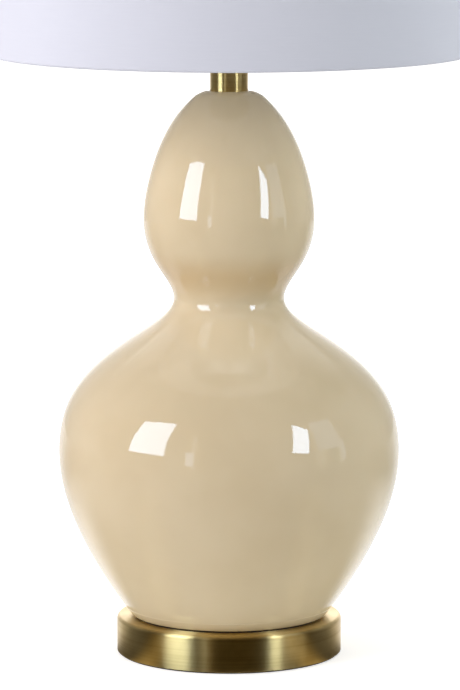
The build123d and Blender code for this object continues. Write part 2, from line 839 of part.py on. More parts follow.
# The wall's section stands in its own plane: x outward from the fabric's outer face, y up the slope.
lean = atan2(shade_bottom_radius - shade_top_radius, shade_height)
slant = shade_height / cos(lean)
shade_plane = Plane(
    origin=(shade_bottom_radius, 0, shade_base), x_dir=(cos(lean), 0, sin(lean)), z_dir=(0, -1, 0)
)
wire_inset = fabric_thickness + ring_clearance + ring_wire_radius
wrap = ring_wire_radius + ring_clearance + fabric_thickness / 2
return_line = -fabric_thickness * 1.5 - liner_thickness - 2 * glue_gap
# A spoke leaves the washer level and climbs to the top ring, through a notch in the hem
ring_centre = shade_plane.from_local_coords((-wire_inset, slant - wire_inset, 0))
spoke_height = washer_base + washer_thickness / 2
spoke_turns = [Location((0, 0, 0), (0, 0, number * 360 / spoke_count)) for number in range(spoke_count)]
with BuildLine(Plane.XZ) as spoke_line:
    FilletPolyline(
        (washer_radius, spoke_height),
        (washer_radius + spoke_flat, spoke_height),
        (ring_centre.X, ring_centre.Z),
        radius=spoke_bend,
    )

with BuildPart(mode=Mode.PRIVATE) as hem_notch:
    with BuildSketch(Plane(origin=spoke_line.line @ 1, z_dir=-(spoke_line.line % 1))):
        Circle(spoke_radius + spoke_notch)
    extrude(amount=hem_length)

with BuildPart() as shade_fabric:
    with BuildSketch(shade_plane):
        with BuildLine():
            lower_hem = [
                (return_line, wire_inset + hem_gap + hem_length),
                (return_line, wire_inset + hem_gap),
                (-wire_inset - wrap, wire_inset + hem_shoulder),
                (-wire_inset - wrap, wire_inset - wrap),
                (-wire_inset + wrap, wire_inset - wrap),
            ]
            upper_hem = [(x, slant - y) for x, y in reversed(lower_hem)]
            hem_bends = [hem_bend, hem_bend, wrap - bend_slack, wrap - bend_slack]
            FilletPolyline(*lower_hem, *upper_hem, radius=hem_bends + hem_bends[::-1])
        trace(line_width=fabric_thickness)
    revolve(axis=Axis.Z)
    with Locations(spoke_turns):
        add(hem_notch.part, mode=Mode.SUBTRACT)

with BuildPart() as shade_liner:
    with BuildSketch(shade_plane):
        with Locations((-fabric_thickness - glue_gap - liner_thickness / 2, slant / 2)):
            Rectangle(liner_thickness, slant - 2 * (wire_inset + hem_gap))
    revolve(axis=Axis.Z)


def shade_ring(height):
    """A wire ring inside the shade, at a height up its slope."""
    with BuildPart() as made:
        with BuildSketch(shade_plane):
            with Locations((-wire_inset, height)):
                Circle(ring_wire_radius)
        revolve(axis=Axis.Z)
    return made


bottom_ring = shade_ring(wire_inset)
top_ring = shade_ring(slant - wire_inset)

with BuildPart(mode=Mode.PRIVATE) as one_spoke:
    with BuildSketch(Plane(origin=(washer_radius, 0, spoke_height), z_dir=(1, 0, 0))):
        Circle(spoke_radius)
    sweep(path=spoke_line.line)
    with BuildSketch(shade_plane):
        with Locations((-wire_inset, slant - wire_inset)):
            Circle(ring_wire_radius + weld_gap)
    revolve(axis=Axis.Z, mode=Mode.SUBTRACT)

with BuildPart() as spider_spokes:
    with Locations(spoke_turns):
        add(one_spoke.part)

spider_washer = ring(washer_radius, stud_radius + stud_clearance, washer_base, washer_thickness)

# ---- Finial ---------------------------------------------------------------------------

finial_insert = ring(insert_radius, stud_radius + insert_clearance, finial_base, insert_length)

ball_height = finial_base + finial_neck_height + finial_ball_radius * sin(radians(finial_ball_start))
with BuildPart() as finial_knob:
    with BuildSketch(Plane.XZ):
        with BuildLine():
            ball = CenterArc((0, ball_height), finial_ball_radius, -finial_ball_start, 90 + finial_ball_start)
            foot_top = finial_base + finial_foot_height
            neck = SagittaArc((finial_neck_radius, foot_top), ball @ 0, finial_neck_dip)
            Polyline(
                ball @ 1,
                (0, finial_base),
                (finial_foot_radius - finial_foot_chamfer, finial_base),
                (finial_foot_radius, finial_base + finial_foot_chamfer),
                (finial_foot_radius, foot_top - finial_foot_chamfer),
                (finial_foot_radius - finial_foot_chamfer, foot_top),
                neck @ 0,
            )
        make_face()
    revolve(axis=Axis.Z)
    with BuildSketch(Plane.XY.offset(finial_base)):
        Circle(insert_radius + finial_running_gap)
    extrude(amount=insert_length + finial_running_gap, mode=Mode.SUBTRACT)
    with BuildSketch(Plane.XY.offset(finial_base)):
        Circle(stud_radius + insert_clearance)
    extrude(amount=stud_length + finial_tip_room, mode=Mode.SUBTRACT)

# ---- Bulb -----------------------------------------------------------------------------

bulb_plane = Plane(origin=(0, 0, bulb_base), x_dir=(1, 0, 0), z_dir=(0, -1, 0))
dome_centre = bulb_length - bulb_radius
glass_base = bulb_cap_height - bulb_seam
with BuildPart() as bulb_glass:
    with BuildSketch(bulb_plane):
        with BuildLine():
            flank = Spline(
                (bulb_neck_radius, glass_base),
                (bulb_shoulder_radius, bulb_shoulder_height),
                (bulb_flank_radius, bulb_flank_height),
                (bulb_radius, dome_centre),
                tangents=[(0, 1), (0, 1)],
            )
            CenterArc((0, dome_centre), bulb_radius, 0, 90)
            Polyline((0, bulb_length), (0, bulb_length - bulb_wall))
            CenterArc((0, dome_centre), bulb_radius - bulb_wall, 0, 90)
            lining = Spline(
                *[wall_point(flank, share, bulb_wall) for share in (0, 0.25, 0.5, 0.75, 1)],
                tangents=[(0, 1), (0, 1)],
            )
            Line(lining @ 0, flank @ 0)
        make_face()
    revolve(axis=Axis.Z)

cap_mouth = insulator_radius + insulator_gap
with BuildPart() as bulb_cap:
    with BuildSketch(bulb_plane):
        with BuildLine():
            Polyline(
                (cap_mouth, bulb_cap_bottom),
                (cap_mouth + bulb_cap_wall, bulb_cap_bottom),
                (bulb_cap_radius, bulb_cap_bottom + bulb_cap_taper),
                (bulb_cap_radius, bulb_cap_height),
                (bulb_cap_radius - bulb_cap_wall, bulb_cap_height),
                (bulb_cap_radius - bulb_cap_wall, bulb_cap_bottom + bulb_cap_taper + bulb_cap_wall),
                (cap_mouth, bulb_cap_bottom + bulb_cap_wall),
                close=True,
            )
        make_face()
    revolve(axis=Axis.Z)

with BuildPart() as bulb_insulator:
    with BuildSketch(bulb_plane):
        with BuildLine():
            Polyline(
                (0, tip_height),
                (tip_radius + insulator_land, tip_height),
                (insulator_radius, bulb_cap_bottom - insulator_lip),
                (insulator_radius, bulb_cap_bottom + insulator_depth),
                (0, bulb_cap_bottom + insulator_depth),
                close=True,
            )
        make_face()
    revolve(axis=Axis.Z)

with BuildPart() as bulb_contact:
    with BuildSketch(bulb_plane):
        with BuildLine():
            face = TangentArc((0, 0), (tip_radius, tip_height), tangent=(1, 0))
            Polyline(face @ 1, (0, tip_height), face @ 0)
        make_face()
    revolve(axis=Axis.Z)

# ---- Written pieces -------------------------------------------------------------------

pieces = {
    "base_shell": base_shell,
    "base_weight": base_weight,
    "felt_pad": felt_pad,
    "cord_bushing": cord_bushing,
    "clamp_washer": clamp_washer,
    "lock_washer": lock_washer,
    "clamp_nut": clamp_nut,
    "foot_gasket": foot_gasket,
    "foot_locator": foot_locator,
    "gourd_lower": gourd_lower,
    "gourd_upper": gourd_upper,
    "crown_locator": crown_locator,
    "neck_tube": neck_tube,
    "neck_cap": neck_cap,
    "lamp_pipe": lamp_pipe,
    "harp_saddle": harp_saddle,
    "saddle_nut": saddle_nut,
    "socket_cap": socket_cap,
    "set_screw": set_screw,
    "socket_shell": socket_shell,
    "socket_sleeve": socket_sleeve,
    "socket_block": socket_block,
    "terminal_screws": terminal_screws,
    "screw_shell": screw_shell,
    "centre_contact": centre_contact,
    "switch_spindle": switch_spindle,
    "switch_knob": switch_knob,
    "harp_wire": harp_wire,
    "harp_stud": harp_stud,
    "ferrule_left": ferrule_left,
    "ferrule_right": ferrule_right,
    "shade_fabric": shade_fabric,
    "shade_liner": shade_liner,
    "bottom_ring": bottom_ring,
    "top_ring": top_ring,
    "spider_spokes": spider_spokes,
    "spider_washer": spider_washer,
    "finial_insert": finial_insert,
    "finial_knob": finial_knob,
    "bulb_glass": bulb_glass,
    "bulb_cap": bulb_cap,
    "bulb_insulator": bulb_insulator,
    "bulb_contact": bulb_contact,
}

os.makedirs("parts", exist_ok=True)
for node, piece in pieces.items():
    piece.part.label = node
    export_step(piece.part, f"parts/{node}.step")
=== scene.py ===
"""Dresses the double gourd lamp: smooth turned pieces, cloth, glaze, brushed brass and a plain studio."""

from __future__ import annotations

import json
import logging
import math
import sys
from dataclasses import dataclass, field
from enum import Enum
from typing import Sequence

import bmesh
import bpy
from mathutils import Matrix, Vector

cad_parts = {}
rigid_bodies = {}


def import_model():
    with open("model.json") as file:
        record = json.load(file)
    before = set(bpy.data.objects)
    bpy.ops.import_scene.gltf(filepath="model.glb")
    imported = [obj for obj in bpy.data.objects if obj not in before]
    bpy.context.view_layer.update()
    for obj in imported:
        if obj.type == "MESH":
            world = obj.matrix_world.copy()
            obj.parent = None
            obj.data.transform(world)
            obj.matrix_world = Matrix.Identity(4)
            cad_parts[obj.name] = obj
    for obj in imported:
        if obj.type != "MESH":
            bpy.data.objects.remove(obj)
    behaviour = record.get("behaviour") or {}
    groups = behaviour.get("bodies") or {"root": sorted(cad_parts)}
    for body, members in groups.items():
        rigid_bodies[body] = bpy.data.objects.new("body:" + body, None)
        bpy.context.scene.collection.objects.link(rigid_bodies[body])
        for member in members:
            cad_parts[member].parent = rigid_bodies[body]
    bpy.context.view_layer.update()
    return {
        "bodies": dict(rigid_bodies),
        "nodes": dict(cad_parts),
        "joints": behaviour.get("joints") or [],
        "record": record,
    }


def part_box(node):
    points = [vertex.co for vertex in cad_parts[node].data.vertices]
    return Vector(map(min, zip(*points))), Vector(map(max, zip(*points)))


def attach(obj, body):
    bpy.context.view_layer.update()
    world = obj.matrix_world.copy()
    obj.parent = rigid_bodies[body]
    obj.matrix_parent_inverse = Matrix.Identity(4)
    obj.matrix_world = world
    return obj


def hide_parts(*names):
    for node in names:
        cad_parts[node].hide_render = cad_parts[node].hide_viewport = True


LOG = logging.getLogger("lamp")
MM = 0.001
Point = tuple[float, float]
Span = tuple[float, float]
Colour = tuple[float, float, float]
Number = int | float
WHITE: Colour = (1.0, 1.0, 1.0)
BLACK: Colour = (0.0, 0.0, 0.0)
PINKISH: Colour = (1.0, 0.955, 0.985)
BLUISH: Colour = (0.94, 0.98, 1.0)
SEEN_RAYS = ("Is Camera Ray", "Is Glossy Ray", "Is Transmission Ray")
DOUBLE = 1e-6
SLIVER = 1e-7


# ---- Shader maths ---------------------------------------------------------------------


class Sockets:
    """One output socket of a shader node, with the arithmetic that the finishes are written in."""

    def __init__(self, tree: bpy.types.NodeTree, output: bpy.types.NodeSocket) -> None:
        """Wraps an output socket of a node tree."""
        self.tree = tree
        self.output = output

    def _maths(self, operation: str, *values: "Sockets | Number", clamp: bool = False) -> "Sockets":
        """Adds one Math node.

        Args:
            operation: the node's operation.
            values: what goes into it, in order.
            clamp: whether the result is kept from 0 to 1.

        Returns:
            The node's result.
        """
        node = self.tree.nodes.new("ShaderNodeMath")
        node.operation = operation
        node.use_clamp = clamp
        for socket, value in zip(node.inputs, values):
            if isinstance(value, Sockets):
                self.tree.links.new(value.output, socket)
            else:
                socket.default_value = value
        return Sockets(self.tree, node.outputs[0])

    def __add__(self, other: "Sockets | Number") -> "Sockets":
        """Sum."""
        return self._maths("ADD", self, other)

    __radd__ = __add__

    def __sub__(self, other: "Sockets | Number") -> "Sockets":
        """Difference."""
        return self._maths("SUBTRACT", self, other)

    def __rsub__(self, other: Number) -> "Sockets":
        """Difference, reflected."""
        return self._maths("SUBTRACT", other, self)

    def __mul__(self, other: "Sockets | Number") -> "Sockets":
        """Product."""
        return self._maths("MULTIPLY", self, other)

    __rmul__ = __mul__

    def __truediv__(self, other: "Sockets | Number") -> "Sockets":
        """Quotient."""
        return self._maths("DIVIDE", self, other)

    def __rtruediv__(self, other: Number) -> "Sockets":
        """Quotient, reflected."""
        return self._maths("DIVIDE", other, self)

    def __pow__(self, other: "Sockets | Number") -> "Sockets":
        """Power."""
        return self._maths("POWER", self, other)

    def sine(self) -> "Sockets":
        """Sine of the value."""
        return self._maths("SINE", self)

    def size(self) -> "Sockets":
        """The value without its sign."""
        return self._maths("ABSOLUTE", self)

    def clamped(self) -> "Sockets":
        """The value kept from 0 to 1."""
        return self._maths("ADD", self, 0.0, clamp=True)

    def turn_from(self, ahead: "Sockets") -> "Sockets":
        """The angle to a point that is this far to the side and so far ahead, in radians."""
        return self._maths("ARCTAN2", self, ahead)

    def step(self, low: float, high: float) -> "Sockets":
        """A smooth step from 0 where the value is low to 1 where it is high."""
        share = ((self - low) / (high - low)).clamped()
        return share * share * (3.0 - 2.0 * share)


class Finish:
    """A material under construction: its node tree and the Principled shader in it."""

    def __init__(self, name: str) -> None:
        """Starts a material.

        Args:
            name: what it is called.
        """
        self.material = bpy.data.materials.new(name)
        self.material.use_nodes = True
        self.tree = self.material.node_tree
        self.shader = next(n for n in self.tree.nodes if n.type == "BSDF_PRINCIPLED")

    def node(self, kind: str, settings: dict | None = None, output: str = "", **values: object) -> Sockets:
        """Adds any node.

        Args:
            kind: the node's type, without its ShaderNode prefix.
            settings: the node's properties by name, which are set first.
            output: the name of the output to hand back, or nothing for the first.
            values: inputs by name, with spaces written as underscores; links or plain values.

        Returns:
            The chosen output.
        """
        node = self.tree.nodes.new("ShaderNode" + kind)
        for key, value in (settings or {}).items():
            setattr(node, key, value)
        for key, value in values.items():
            wanted = key.replace("_", " ")
            socket = next(s for s in node.inputs if s.name == wanted and s.enabled)
            if isinstance(value, Sockets):
                self.tree.links.new(value.output, socket)
            else:
                socket.default_value = value
        return Sockets(self.tree, next(s for s in node.outputs if s.enabled and output in ("", s.name)))

    def place(self) -> Sockets:
        """The point's place on the object, in metres."""
        return self.node("TexCoord", output="Object")

    def parts(self, vector: Sockets) -> tuple[Sockets, Sockets, Sockets]:
        """A vector's X, Y and Z."""
        first = self.node("SeparateXYZ", Vector=vector)
        return tuple(Sockets(self.tree, out) for out in first.output.node.outputs)

    def scaled(self, vector: Sockets, scale: Sequence[float]) -> Sockets:
        """A vector stretched by a factor along each axis."""
        return self.node("Mapping", Vector=vector, Scale=tuple(scale))

    def noise(self, vector: Sockets, scale: float, detail: float, rough: float) -> Sockets:
        """Soft noise from 0 to 1, by its spots to a metre and its finer layers' number and strength."""
        return self.node("TexNoise", Vector=vector, Scale=scale, Detail=detail, Roughness=rough)

    def blend(self, share: Sockets, first: Sockets | Colour, second: Colour) -> Sockets:
        """Mixes two colours.

        Args:
            share: how much of the second.
            first: the colour at 0.
            second: the colour at 1.

        Returns:
            The mixed colour.
        """
        node = self.tree.nodes.new("ShaderNodeMix")
        node.data_type = "RGBA"
        self.tree.links.new(share.output, node.inputs[0])
        if isinstance(first, Sockets):
            self.tree.links.new(first.output, node.inputs[6])
        else:
            node.inputs[6].default_value = (*first, 1.0)
        node.inputs[7].default_value = (*second, 1.0)
        return Sockets(self.tree, node.outputs[2])

    def bump(self, height: Sockets, distance: float) -> Sockets:
        """A normal from a height, of which 1 stands for the distance in metres."""
        return self.node("Bump", Height=height, Distance=distance, Strength=1.0)

    def glow(self, light: Sockets | Colour, strength: float = 1.0) -> None:
        """Makes the surface a black one that gives off light."""
        self.set(Base_Color=BLACK, Roughness=1.0, Specular_IOR_Level=0.0)
        self.set(Emission_Color=light, Emission_Strength=strength)

    def set(self, **values: object) -> None:
        """Sets the shader's sockets.

        Args:
            values: sockets by name, with spaces written as underscores; links, colours or numbers.
        """
        for key, value in values.items():
            socket = self.shader.inputs[key.replace("_", " ")]
            if isinstance(value, Sockets):
                self.tree.links.new(value.output, socket)
            elif socket.type == "RGBA":
                socket.default_value = (*value, 1.0)
            else:
                socket.default_value = value


# ---- Finishes -------------------------------------------------------------------------


def srgb(red: int, green: int, blue: int) -> Colour:
    """A screen colour as the light it stands for.

    Args:
        red: from 0 to 255.
        green: from 0 to 255.
        blue: from 0 to 255.

    Returns:
        The linear colour.
    """

    def linear(value: int) -> float:
        """One channel's light."""
        share = value / 255
        return share / 12.92 if share <= 0.04045 else ((share + 0.055) / 1.055) ** 2.4

    return linear(red), linear(green), linear(blue)


def grey(level: float) -> Colour:
    """A neutral colour of this much light."""
    return level, level, level


@dataclass(frozen=True)
class CreamGlaze:
    """A thick glossy cream glaze over a pale body, with faint pooling, pinholes, a gentle waviness and
    painted shade under the upper swelling.
    """

    name: str = "cream_glaze"
    colour: Colour = srgb(225, 208, 174)
    pooled: Colour = srgb(213, 194, 157)
    pool_share: float = 0.55
    speck: Colour = srgb(196, 168, 124)
    speck_share: float = 0.12
    # painted shade under the upper swelling: its colour, the band's height and how far it reaches up and
    # down
    painted_shade_colour: Colour = srgb(202, 172, 122)
    painted_shade_height: float = 325.0 * MM
    painted_shade_reach: float = 24.0 * MM
    wave_size: float = 50.0 * MM
    wave_depth: float = 0.35 * MM
    skin_share: float = 0.012
    rough: float = 0.035
    smear: float = 0.03
    bending: float = 1.46
    coat: float = 0.2
    coat_rough: float = 0.02
    bleed: float = 0.06
    bleed_reach: Colour = (4.0 * MM, 2.5 * MM, 1.5 * MM)

    def make(self) -> bpy.types.Material:
        """The glaze's material, with painted shade: the colour darkens in a band round the height just
        under the upper swelling.
        """
        finish = Finish(self.name)
        place = finish.place()
        drift = finish.noise(place, 9.0, 3.0, 0.55)
        pooling = drift.step(0.35, 0.7)
        colour = finish.blend(pooling * self.pool_share, self.colour, self.pooled)
        specks = finish.noise(place, 900.0, 1.0, 0.4).step(0.72, 0.78)
        colour = finish.blend(specks * self.speck_share, colour, self.speck)
        _, _, height = finish.parts(place)
        # painted shade: a darker, browner band round the waist under the upper swelling, where shade falls
        painted_shade = 1.0 - ((height - self.painted_shade_height) / self.painted_shade_reach).size().step(0.0, 1.0)
        colour = finish.blend(painted_shade * (0.35 + 0.4 * drift), colour, self.painted_shade_colour)
        waves = finish.noise(place, 1.0 / self.wave_size, 1.5, 0.35)
        skin = finish.noise(place, 160.0, 2.0, 0.5)
        rough = self.rough + self.smear * finish.noise(place, 22.0, 3.0, 0.6)
        normal = finish.bump(waves + self.skin_share * skin, self.wave_depth)
        finish.set(Base_Color=colour, Roughness=rough, Normal=normal, IOR=self.bending)
        finish.set(Coat_Weight=self.coat, Coat_Roughness=self.coat_rough)
        finish.set(Subsurface_Weight=self.bleed, Subsurface_Radius=self.bleed_reach, Subsurface_Scale=0.5)
        return finish.material


@dataclass(frozen=True)
class BrushedBrass:
    """Aged brass, brushed in fine lines round the axis and lacquered."""

    name: str = "aged_brass"
    colour: Colour = srgb(230, 204, 140)
    tarnished: Colour = srgb(188, 153, 86)
    lines: float = 2600.0
    rough: float = 0.35
    line_depth: float = 0.006 * MM
    stretch: float = 1.0
    quarter_turn: float = 0.25
    finer: float = 0.07

    def make(self) -> bpy.types.Material:
        """The brass's material: what stands higher on the lamp is polished finer."""
        finish = Finish(self.name)
        place = finish.place()
        hair = finish.noise(finish.scaled(place, (5.0, 5.0, self.lines)), 1.0, 3.0, 0.6)
        strokes = finish.noise(finish.scaled(place, (4.0, 4.0, self.lines / 6)), 1.0, 2.0, 0.5)
        patches = finish.noise(place, 26.0, 4.0, 0.6)
        ageing = patches.step(0.38, 0.72)
        tarnish = ageing * 0.3 + strokes.step(0.4, 0.75) * 0.3 + hair * 0.2
        colour = finish.blend(tarnish, self.colour, self.tarnished)
        _, _, height = finish.parts(place)
        uneven = self.rough + 0.1 * (hair - 0.5) + 0.08 * (strokes - 0.5) + 0.04 * patches
        finish.set(Base_Color=colour, Metallic=1.0, Roughness=uneven - self.finer * height.step(0.1, 0.4))
        finish.set(Anisotropic=self.stretch, Anisotropic_Rotation=self.quarter_turn)
        finish.set(Normal=finish.bump(hair + strokes, self.line_depth))
        return finish.material


@dataclass(frozen=True)
class ShadeCloth:
    """Fine plain-woven white cotton, laminated to a stiff sheet, with its lapped seam at the back."""

    name: str = "white_fabric"
    colour: Colour = srgb(220, 222, 231)
    slubs: Colour = srgb(204, 207, 220)
    doubled: Colour = srgb(226, 228, 236)
    threads: float = 1500.0
    thread_depth: float = 0.05 * MM
    sway: float = 0.04 * MM
    seam: float = 309.3 * MM
    lap: float = 12.0 * MM
    lap_edge: float = 0.4 * MM
    lap_height: float = 9.0

    def make(self) -> bpy.types.Material:
        """The cloth's material: the weave follows the piece's own UV map, in metres."""
        finish = Finish(self.name)
        around = finish.node("UVMap", {"uv_map": "cloth"})
        u, v, _ = finish.parts(around)
        slub = finish.noise(finish.scaled(around, (40.0, 900.0, 1.0)), 1.0, 3.0, 0.6)
        warp = (u * (self.threads * math.pi)).sine().size()
        weft = ((v + self.sway * slub) * (self.threads * math.pi)).sine().size()
        weave = warp * 0.5 + weft * 0.5
        tint = finish.blend(slub * 0.35 + 0.1 * (1.0 - weave), self.colour, self.slubs)
        lap_start = (u - self.seam).step(-self.lap_edge, self.lap_edge)
        lap_end = (u - self.seam - self.lap).step(-self.lap_edge, self.lap_edge)
        lapped = lap_start - lap_end
        tint = finish.blend(lapped * 0.5, tint, self.doubled)
        finish.set(Base_Color=tint, Roughness=0.86 - 0.08 * weave)
        height = weave + 0.5 * slub + self.lap_height * lapped
        finish.set(Normal=finish.bump(height, self.thread_depth))
        finish.set(Sheen_Weight=0.15, Sheen_Roughness=0.5)
        return finish.material


@dataclass(frozen=True)
class PlainFinish:
    """A moulded, cast, drawn or painted surface with fine mottling, soft wear and a slight relief."""

    name: str
    colour: Colour
    worn: Colour
    rough: float
    metallic: float
    mottle: float
    relief: float = 0.02 * MM
    coat: float = 0.0

    def make(self) -> bpy.types.Material:
        """The surface's material."""
        finish = Finish(self.name)
        place = finish.place()
        mottling = finish.noise(place, self.mottle, 4.0, 0.6)
        fine = finish.noise(place, self.mottle * 9.0, 2.0, 0.5)
        colour = finish.blend(mottling.step(0.3, 0.75) * 0.6, self.colour, self.worn)
        rough = self.rough + 0.12 * (mottling - 0.5) + 0.05 * (fine - 0.5)
        finish.set(Base_Color=colour, Metallic=self.metallic, Roughness=rough.clamped())
        finish.set(Normal=finish.bump(fine * 0.4 + mottling, self.relief), Coat_Weight=self.coat)
        return finish.material


PLAIN_FINISHES = (
    PlainFinish("cast_iron", (0.05, 0.05, 0.055), (0.09, 0.08, 0.075), 0.6, 0.6, 300.0, 0.4 * MM),
    PlainFinish("brown_felt", (0.05, 0.034, 0.022), (0.075, 0.052, 0.035), 0.95, 0.0, 700.0, 0.6 * MM),
    PlainFinish("black_bushing", (0.015, 0.015, 0.016), grey(0.03), 0.42, 0.0, 200.0),
    PlainFinish("zinc_steel", (0.52, 0.52, 0.5), (0.4, 0.39, 0.36), 0.34, 1.0, 240.0),
    PlainFinish("rubber_gasket", (0.03, 0.017, 0.01), (0.045, 0.028, 0.018), 0.7, 0.0, 400.0),
    PlainFinish("locator_plastic", (0.6, 0.57, 0.5), (0.52, 0.48, 0.4), 0.45, 0.0, 90.0),
    PlainFinish("insulating_paper", (0.3, 0.18, 0.09), (0.22, 0.13, 0.06), 0.85, 0.0, 260.0, 0.08 * MM),
    PlainFinish("black_phenolic", (0.02, 0.018, 0.016), (0.035, 0.03, 0.026), 0.35, 0.0, 180.0),
    PlainFinish("bare_aluminium", (0.72, 0.72, 0.73), (0.6, 0.6, 0.61), 0.3, 1.0, 200.0),
    PlainFinish("black_knob", grey(0.012), grey(0.025), 0.22, 0.0, 160.0, 0.01 * MM, 0.4),
    PlainFinish("shade_backing", grey(0.8), grey(0.74), 0.5, 0.0, 60.0),
    PlainFinish("white_wire", grey(0.75), (0.68, 0.68, 0.67), 0.38, 0.0, 180.0, 0.02 * MM, 0.3),
    PlainFinish("opal_glass", (0.86, 0.86, 0.84), (0.82, 0.82, 0.79), 0.12, 0.0, 40.0, 0.005 * MM, 0.5),
    PlainFinish("black_glass", (0.01, 0.01, 0.012), (0.02, 0.02, 0.022), 0.1, 0.0, 120.0, 0.005 * MM, 0.6),
    PlainFinish("solder", (0.5, 0.5, 0.51), (0.36, 0.36, 0.36), 0.42, 1.0, 500.0, 0.1 * MM),
)


@dataclass
class FinishShelf:
    """Every finish by its slot's name, made once."""

    made: dict[str, bpy.types.Material] = field(default_factory=dict)

    def stock(self) -> None:
        """Makes the finishes."""
        brasses = (
            BrushedBrass(),
            BrushedBrass("socket_brass", srgb(226, 196, 128), srgb(190, 154, 92), 3200.0, 0.24),
        )
        for finish in (CreamGlaze(), ShadeCloth(), *brasses, *PLAIN_FINISHES):
            self.made[finish.name] = finish.make()

    def dress(self, piece: bpy.types.Object, slot: str) -> None:
        """Puts the finish of one of the record's material slots on a piece."""
        piece.data.materials.clear()
        piece.data.materials.append(self.made[slot])


# ---- Turned shapes --------------------------------------------------------------------


def swept(outline: Sequence[Point], steps: int, closed: bool = False) -> bmesh.types.BMesh:
    """Turns a section about the lamp's axis.

    Args:
        outline: (radius, height) points in metres, in order along the section.
        steps: how many facets the turn has.
        closed: whether the last point joins the first.

    Returns:
        The shape.
    """
    shape = bmesh.new()
    ring = [shape.verts.new((radius, 0.0, height)) for radius, height in outline]
    pairs = list(zip(ring, ring[1:]))
    if closed:
        pairs.append((ring[-1], ring[0]))
    edges = [shape.edges.new(pair) for pair in pairs]
    bmesh.ops.spin(
        shape,
        geom=ring + edges,
        axis=(0, 0, 1),
        cent=(0, 0, 0),
        angle=2 * math.pi,
        steps=steps,
        use_merge=True,
    )
    return shape


def spun_piece(name: str, outline: Sequence[Point], steps: int, sharp: float) -> bpy.types.Object:
    """A solid piece turned about the lamp's axis.

    Args:
        name: the new object's name.
        outline: (radius, height) points in metres, in order round the section.
        steps: how many facets the turn has.
        sharp: edges that turn by more than this many degrees stay crisp.

    Returns:
        The finished object.
    """
    shape = swept(outline, steps, closed=True)
    bmesh.ops.remove_doubles(shape, verts=shape.verts, dist=DOUBLE)
    bmesh.ops.dissolve_degenerate(shape, dist=SLIVER, edges=shape.edges)
    bmesh.ops.recalc_face_normals(shape, faces=shape.faces)
    return finished(name, shape, sharp)


def finished(name: str, shape: bmesh.types.BMesh, sharp: float) -> bpy.types.Object:
    """Turns a bmesh into a shaded object at the origin.

    Args:
        name: the new object's name.
        shape: the shape, which is freed.
        sharp: edges that turn by more than this many degrees stay crisp.

    Returns:
        The object.
    """
    limit = math.radians(sharp)
    for face in shape.faces:
        face.smooth = True
    for edge in shape.edges:
        edge.smooth = len(edge.link_faces) == 2 and edge.calc_face_angle(0.0) < limit
    mesh = bpy.data.meshes.new(name)
    shape.to_mesh(mesh)
    shape.free()
    made = bpy.data.objects.new(name, mesh)
    bpy.context.scene.collection.objects.link(made)
    return made


def arc(centre: Point, radius: float, start: float, end: float, count: int) -> list[Point]:
    """Points along an arc with both its ends, which are in degrees from outward, turning up."""
    angles = [math.radians(start + (end - start) * i / (count - 1)) for i in range(count)]
    return [(centre[0] + radius * math.cos(a), centre[1] + radius * math.sin(a)) for a in angles]


@dataclass(frozen=True)
class SmoothOutline:
    """A curve through a few points, whose bend runs on evenly, with a set direction at each end."""

    points: tuple[Point, ...]
    start: Point
    end: Point

    def _slopes(self, values: list[float], spans: list[float], first: float, last: float) -> list[float]:
        """The curve's slopes at its points along one axis.

        Args:
            values: the points' places on that axis.
            spans: the distances between the points.
            first: the slope at the start.
            last: the slope at the end.

        Returns:
            One slope for each point.
        """
        count = len(values)
        right = [first] + [0.0] * (count - 2) + [last]
        diagonal = [1.0] * count
        lower = [0.0] * count
        upper = [0.0] * count
        for i in range(1, count - 1):
            before, after = spans[i - 1], spans[i]
            lower[i] = after
            upper[i] = before
            diagonal[i] = 2 * (before + after)
            rise_in = (values[i] - values[i - 1]) / before
            rise_out = (values[i + 1] - values[i]) / after
            right[i] = 3 * (after * rise_in + before * rise_out)
        for i in range(1, count):
            share = lower[i] / diagonal[i - 1]
            diagonal[i] -= share * upper[i - 1]
            right[i] -= share * right[i - 1]
        slopes = [0.0] * count
        slopes[-1] = right[-1] / diagonal[-1]
        for i in range(count - 2, -1, -1):
            slopes[i] = (right[i] - upper[i] * slopes[i + 1]) / diagonal[i]
        return slopes

    def drawn(self, each: int) -> list[Point]:
        """Points along the curve.

        Args:
            each: how many to each span.

        Returns:
            The points, both ends included.
        """
        spans = [math.dist(a, b) for a, b in zip(self.points, self.points[1:])]
        slopes = [
            self._slopes([p[axis] for p in self.points], spans, self.start[axis], self.end[axis])
            for axis in (0, 1)
        ]
        drawn: list[Point] = []
        for i, span in enumerate(spans):
            for step in range(each):
                share = step / each
                weights = (
                    2 * share**3 - 3 * share**2 + 1,
                    (share**3 - 2 * share**2 + share) * span,
                    3 * share**2 - 2 * share**3,
                    (share**3 - share**2) * span,
                )
                drawn.append(
                    tuple(
                        weights[0] * self.points[i][axis]
                        + weights[1] * slopes[axis][i]
                        + weights[2] * self.points[i + 1][axis]
                        + weights[3] * slopes[axis][i + 1]
                        for axis in (0, 1)
                    )
                )
        drawn.append(self.points[-1])
        return drawn


# ---- The gourd body -------------------------------------------------------------------


